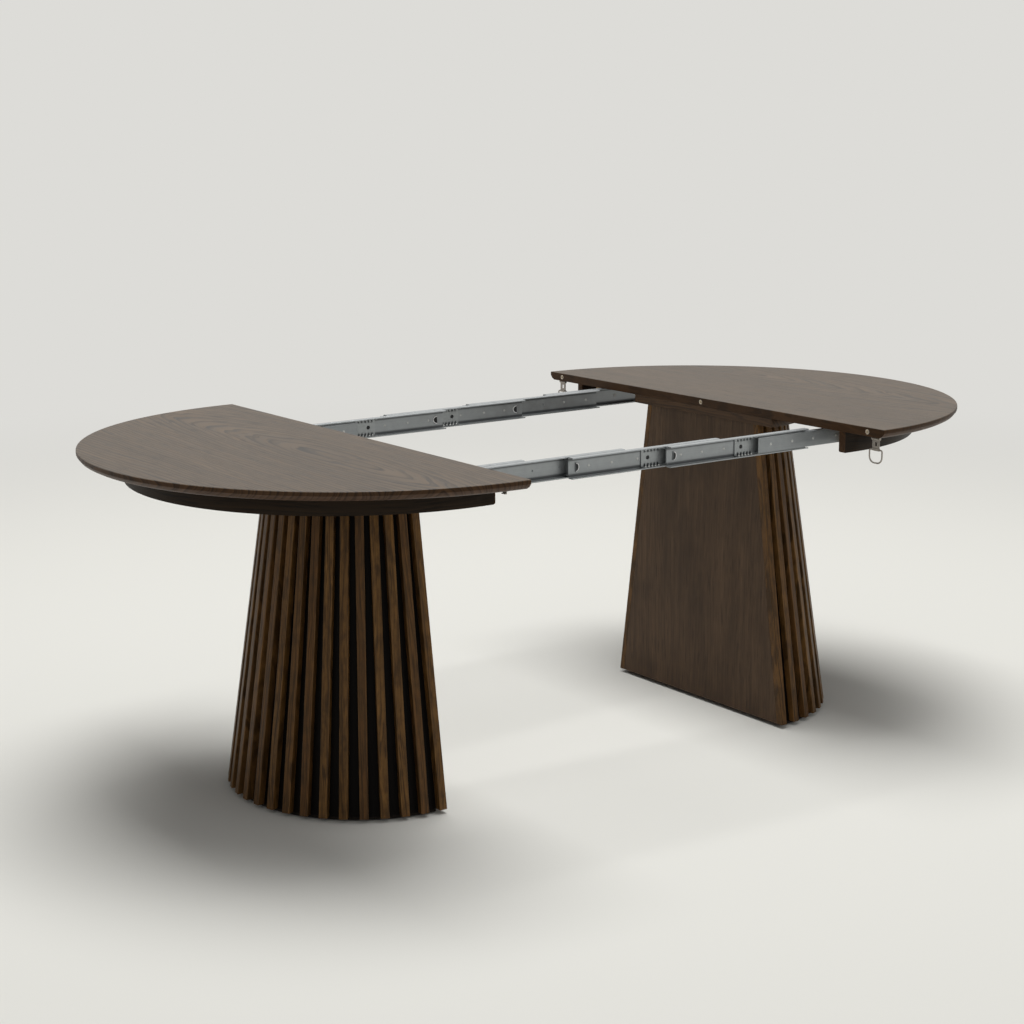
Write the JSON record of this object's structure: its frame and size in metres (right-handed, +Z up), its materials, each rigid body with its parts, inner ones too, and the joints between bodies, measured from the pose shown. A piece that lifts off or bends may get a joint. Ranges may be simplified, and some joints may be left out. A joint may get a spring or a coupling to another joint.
{
  "type": "extending dining table",
  "caption": "Round extending dining table pulled open on stacked ball-bearing slides, each half of the top on its own half-cone pedestal faced with upright slats.",
  "frame": {"origin": "on the floor, midway between the two halves in the open pose", "axes": "+X along the extension from the left half to the right half, +Y away from the open sides of the slides, +Z up"},
  "size_m": [2.1398, 1.2, 0.75],
  "materials": {
    "walnut_top": "stained open-grain walnut, satin lacquer",
    "dark_apron": "near-black stain, satin",
    "walnut_plate": "walnut stain, matt",
    "walnut_panel": "dark walnut stain, satin",
    "walnut_slats": "walnut stain that varies from slat to slat, satin",
    "black_backing": "black stain, matt",
    "inner_wood": "plain unfinished board",
    "dark_plinth": "black stain, matt",
    "nylon_glides": "moulded nylon",
    "steel_screws": "zinc plated",
    "latch_nickel": "nickel plated",
    "pin_plastic": "moulded pale plastic",
    "zinc_channels": "bright zinc plated strip",
    "zinc_rails": "bright zinc plated strip",
    "zinc_cages": "bright zinc plated thin strip"
  },
  "bodies": {
    "left_half": {"left_top": "walnut_top", "left_apron": "dark_apron", "left_head_plate": "walnut_plate", "left_panel": "walnut_panel", "left_backing": "black_backing", "left_slats": "walnut_slats", "left_formers": "inner_wood", "left_plinth": "dark_plinth", "left_glides": "nylon_glides", "left_near_bearer": "inner_wood", "left_far_bearer": "inner_wood", "left_slide_screws": "steel_screws", "left_plate_screws": "steel_screws", "alignment_pins": "pin_plastic", "left_latch_hooks": "latch_nickel", "near_channel_1": "zinc_channels", "far_rail_5": "zinc_rails"},
    "right_half": {"right_top": "walnut_top", "right_apron": "dark_apron", "right_head_plate": "walnut_plate", "right_panel": "walnut_panel", "right_backing": "black_backing", "right_slats": "walnut_slats", "right_formers": "inner_wood", "right_plinth": "dark_plinth", "right_glides": "nylon_glides", "right_near_bearer": "inner_wood", "right_far_bearer": "inner_wood", "right_slide_screws": "steel_screws", "right_plate_screws": "steel_screws", "socket_bushes": "pin_plastic", "latch_plates": "latch_nickel", "near_rail_5": "zinc_rails", "far_channel_1": "zinc_channels"},
    "near_member_2": {"near_rail_2": "zinc_rails", "near_channel_2": "zinc_channels"},
    "near_member_3": {"near_rail_3": "zinc_rails", "near_channel_3": "zinc_channels"},
    "near_member_4": {"near_rail_4": "zinc_rails", "near_channel_4": "zinc_channels"},
    "near_ball_cage_1": {"near_cage_1": "zinc_cages"},
    "near_ball_cage_2": {"near_cage_2": "zinc_cages"},
    "near_ball_cage_3": {"near_cage_3": "zinc_cages"},
    "near_ball_cage_4": {"near_cage_4": "zinc_cages"},
    "far_member_2": {"far_rail_2": "zinc_rails", "far_channel_2": "zinc_channels"},
    "far_member_3": {"far_rail_3": "zinc_rails", "far_channel_3": "zinc_channels"},
    "far_member_4": {"far_rail_4": "zinc_rails", "far_channel_4": "zinc_channels"},
    "far_ball_cage_1": {"far_cage_1": "zinc_cages"},
    "far_ball_cage_2": {"far_cage_2": "zinc_cages"},
    "far_ball_cage_3": {"far_cage_3": "zinc_cages"},
    "far_ball_cage_4": {"far_cage_4": "zinc_cages"},
    "near_strap": {"near_latch_strap": "latch_nickel"},
    "near_loop": {"near_latch_loop": "latch_nickel"},
    "far_strap": {"far_latch_strap": "latch_nickel"},
    "far_loop": {"far_latch_loop": "latch_nickel"}
  },
  "joints": [
    {"name": "table_opening", "type": "slide", "parent": "left_half", "child": "right_half", "axis": [1, 0, 0], "range_m": [-0.9395, 0]},
    {"name": "near_member_2_slide", "type": "slide", "parent": "left_half", "child": "near_member_2", "axis": [1, 0, 0], "range_m": [-0.23488, 0]},
    {"name": "near_member_3_slide", "type": "slide", "parent": "left_half", "child": "near_member_3", "axis": [1, 0, 0], "range_m": [-0.46975, 0]},
    {"name": "near_member_4_slide", "type": "slide", "parent": "left_half", "child": "near_member_4", "axis": [1, 0, 0], "range_m": [-0.70463, 0]},
    {"name": "near_cage_1_slide", "type": "slide", "parent": "left_half", "child": "near_ball_cage_1", "axis": [1, 0, 0], "range_m": [-0.11744, 0]},
    {"name": "near_cage_2_slide", "type": "slide", "parent": "left_half", "child": "near_ball_cage_2", "axis": [1, 0, 0], "range_m": [-0.35231, 0]},
    {"name": "near_cage_3_slide", "type": "slide", "parent": "left_half", "child": "near_ball_cage_3", "axis": [1, 0, 0], "range_m": [-0.58719, 0]},
    {"name": "near_cage_4_slide", "type": "slide", "parent": "left_half", "child": "near_ball_cage_4", "axis": [1, 0, 0], "range_m": [-0.82206, 0]},
    {"name": "far_member_2_slide", "type": "slide", "parent": "left_half", "child": "far_member_2", "axis": [1, 0, 0], "range_m": [-0.70463, 0]},
    {"name": "far_member_3_slide", "type": "slide", "parent": "left_half", "child": "far_member_3", "axis": [1, 0, 0], "range_m": [-0.46975, 0]},
    {"name": "far_member_4_slide", "type": "slide", "parent": "left_half", "child": "far_member_4", "axis": [1, 0, 0], "range_m": [-0.23488, 0]},
    {"name": "far_cage_1_slide", "type": "slide", "parent": "left_half", "child": "far_ball_cage_1", "axis": [1, 0, 0], "range_m": [-0.82206, 0]},
    {"name": "far_cage_2_slide", "type": "slide", "parent": "left_half", "child": "far_ball_cage_2", "axis": [1, 0, 0], "range_m": [-0.58719, 0]},
    {"name": "far_cage_3_slide", "type": "slide", "parent": "left_half", "child": "far_ball_cage_3", "axis": [1, 0, 0], "range_m": [-0.35231, 0]},
    {"name": "far_cage_4_slide", "type": "slide", "parent": "left_half", "child": "far_ball_cage_4", "axis": [1, 0, 0], "range_m": [-0.11744, 0]},
    {"name": "near_strap_hinge", "type": "hinge", "parent": "right_half", "child": "near_strap", "pos_m": [0.484, -0.564, 0.7252], "axis": [0, 1, 0], "range_deg": [0, 90]},
    {"name": "near_loop_hinge", "type": "hinge", "parent": "near_strap", "child": "near_loop", "pos_m": [0.484, -0.564, 0.7012], "axis": [0, 1, 0], "range_deg": [-88, 0]},
    {"name": "far_strap_hinge", "type": "hinge", "parent": "right_half", "child": "far_strap", "pos_m": [0.484, 0.564, 0.7252], "axis": [0, 1, 0], "range_deg": [0, 90]},
    {"name": "far_loop_hinge", "type": "hinge", "parent": "far_strap", "child": "far_loop", "pos_m": [0.484, 0.564, 0.7012], "axis": [0, 1, 0], "range_deg": [-88, 0]}
  ],
  "couplings": [
    {"joint": "near_member_2_slide", "follows": "table_opening", "ratio": 0.25},
    {"joint": "near_member_3_slide", "follows": "table_opening", "ratio": 0.5},
    {"joint": "near_member_4_slide", "follows": "table_opening", "ratio": 0.75},
    {"joint": "near_cage_1_slide", "follows": "table_opening", "ratio": 0.125},
    {"joint": "near_cage_2_slide", "follows": "table_opening", "ratio": 0.375},
    {"joint": "near_cage_3_slide", "follows": "table_opening", "ratio": 0.625},
    {"joint": "near_cage_4_slide", "follows": "table_opening", "ratio": 0.875},
    {"joint": "far_member_2_slide", "follows": "table_opening", "ratio": 0.75},
    {"joint": "far_member_3_slide", "follows": "table_opening", "ratio": 0.5},
    {"joint": "far_member_4_slide", "follows": "table_opening", "ratio": 0.25},
    {"joint": "far_cage_1_slide", "follows": "table_opening", "ratio": 0.875},
    {"joint": "far_cage_2_slide", "follows": "table_opening", "ratio": 0.625},
    {"joint": "far_cage_3_slide", "follows": "table_opening", "ratio": 0.375},
    {"joint": "far_cage_4_slide", "follows": "table_opening", "ratio": 0.125}
  ]
}
